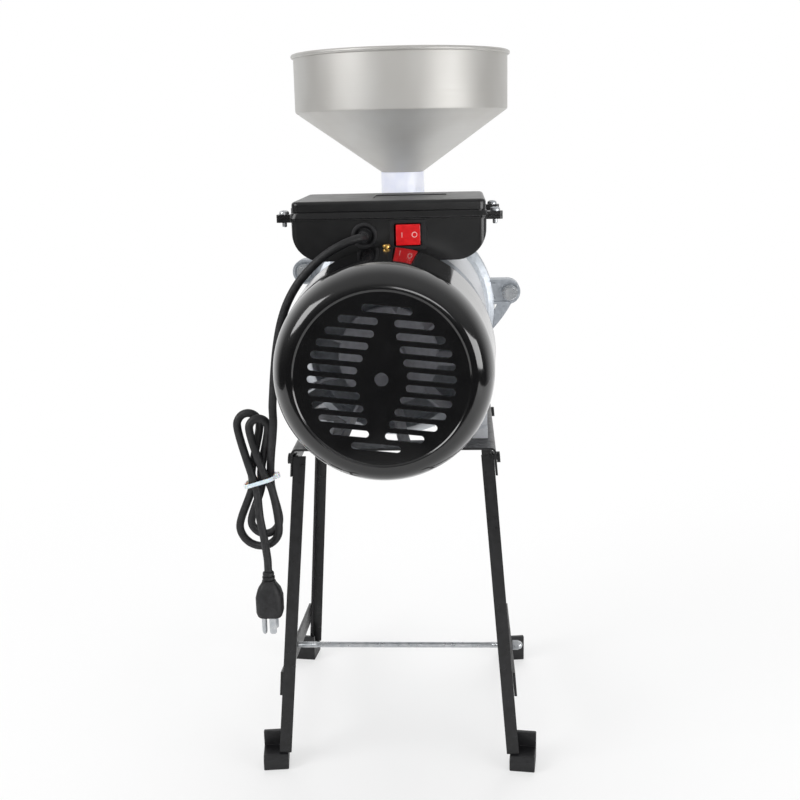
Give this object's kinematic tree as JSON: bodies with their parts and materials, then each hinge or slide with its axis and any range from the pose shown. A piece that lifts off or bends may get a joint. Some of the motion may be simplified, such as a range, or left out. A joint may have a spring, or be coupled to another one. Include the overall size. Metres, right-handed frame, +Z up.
{
  "type": "electric grain mill",
  "caption": "Electric burr mill for grain on a splayed steel stand, with a steel hopper, a fan-cooled motor, a switch box with a rocker switch and a hanging mains cord.",
  "frame": {"origin": "centre of the bottom of the box round the machine without its cord, on the floor", "axes": "+Z up, +Y from the fan cover towards the mill head, +X to the right seen from the fan cover"},
  "size_m": [0.277, 0.5282, 0.6623],
  "materials": {
    "black_enamel": "gloss black stoving paint",
    "silver_paint": "silver paint over cast metal",
    "cast_aluminium": "bead-blasted casting with machined rims",
    "stainless": "polished and lightly brushed sheet",
    "gloss_black_plastic": "gloss moulded plastic",
    "satin_black_plastic": "satin moulded plastic",
    "black_steel": "satin black paint on bent sheet steel",
    "black_rubber": "matte moulded rubber",
    "fan_grey": "moulded grey plastic",
    "rocker_red": "translucent red plastic",
    "white_plastic": "white moulded plastic",
    "zinc": "bright zinc plate",
    "brass": "bare brass",
    "copper": "varnished copper wire",
    "steel": "machined steel",
    "cast_iron": "ground cast iron"
  },
  "bodies": {
    "stand": {"fan_cover": "black_enamel", "earth_screw": "brass", "stator_core": "steel", "bearing_rear": "zinc", "bearing_front": "zinc", "motor_rear_shield": "cast_aluminium", "motor_shell": "silver_paint", "winding_rear": "copper", "winding_front": "copper", "motor_bolt_near_left": "zinc", "motor_bolt_near_right": "zinc", "motor_bolt_far_left": "zinc", "motor_bolt_far_right": "zinc", "mill_housing": "cast_aluminium", "ear_bolt_right": "zinc", "ear_bolt_left": "zinc", "switch_box": "gloss_black_plastic", "box_lid": "gloss_black_plastic", "capacitor": "white_plastic", "cable_tie": "white_plastic", "lid_screw_near_left": "zinc", "lid_screw_near_right": "zinc", "lid_screw_far_left": "zinc", "lid_screw_far_right": "zinc", "switch_bezel": "satin_black_plastic", "cord_grommet": "black_rubber", "cord_lead": "black_rubber", "cord_hank": "black_rubber", "mains_plug": "black_rubber", "base_tray": "black_steel", "leg_near_left": "black_steel", "leg_near_right": "black_steel", "leg_far_left": "black_steel", "leg_far_right": "black_steel", "foot_near_left": "satin_black_plastic", "foot_near_right": "satin_black_plastic", "foot_far_left": "satin_black_plastic", "foot_far_right": "satin_black_plastic", "side_rail_left": "black_steel", "side_rail_right": "black_steel", "rod_nut_left": "zinc", "rod_nut_right": "zinc", "tie_rod": "zinc"},
    "rotor": {"main_shaft": "steel", "rotor_core": "steel", "cooling_fan": "fan_grey", "rotating_burr": "cast_iron", "feed_auger": "cast_iron"},
    "rocker": {"switch_rocker": "rocker_red"},
    "mill_cover": {"front_cover": "cast_aluminium", "fixed_burr": "cast_iron", "ear_nut_right": "zinc", "ear_nut_left": "zinc", "lock_nut": "zinc", "feed_tube": "white_plastic"},
    "hopper": {"hopper": "stainless"},
    "gate": {"feed_gate": "stainless"},
    "thrust": {"thrust_pad": "steel"},
    "adjuster": {"adjusting_screw": "zinc", "adjusting_knob": "gloss_black_plastic"}
  },
  "joints": [
    {"name": "shaft_spin", "type": "hinge", "parent": "stand", "child": "rotor", "pos_m": [0, 0, 0.394], "axis": [0, 1, 0], "continuous": true},
    {"name": "rocker_tilt", "type": "hinge", "parent": "stand", "child": "rocker", "pos_m": [0.017, -0.13373, 0.4937], "axis": [0, 0, -1], "range_deg": [0, 20]},
    {"name": "cover_pull", "type": "slide", "parent": "stand", "child": "mill_cover", "axis": [0, 1, 0], "range_m": [0, 0.11]},
    {"name": "hopper_lift", "type": "slide", "parent": "mill_cover", "child": "hopper", "axis": [0, 0, 1], "range_m": [0, 0.05]},
    {"name": "gate_slide", "type": "slide", "parent": "mill_cover", "child": "gate", "axis": [1, 0, 0], "range_m": [0, 0.038]},
    {"name": "thrust_travel", "type": "slide", "parent": "mill_cover", "child": "thrust", "axis": [0, 1, 0], "range_m": [0, 0.0015]},
    {"name": "knob_turn", "type": "hinge", "parent": "thrust", "child": "adjuster", "pos_m": [0, 0.21577, 0.394], "axis": [0, 1, 0], "range_deg": [0, 340]}
  ],
  "couplings": [
    {"joint": "thrust_travel", "follows": "knob_turn", "m_per_rad": 0.00023873}
  ]
}
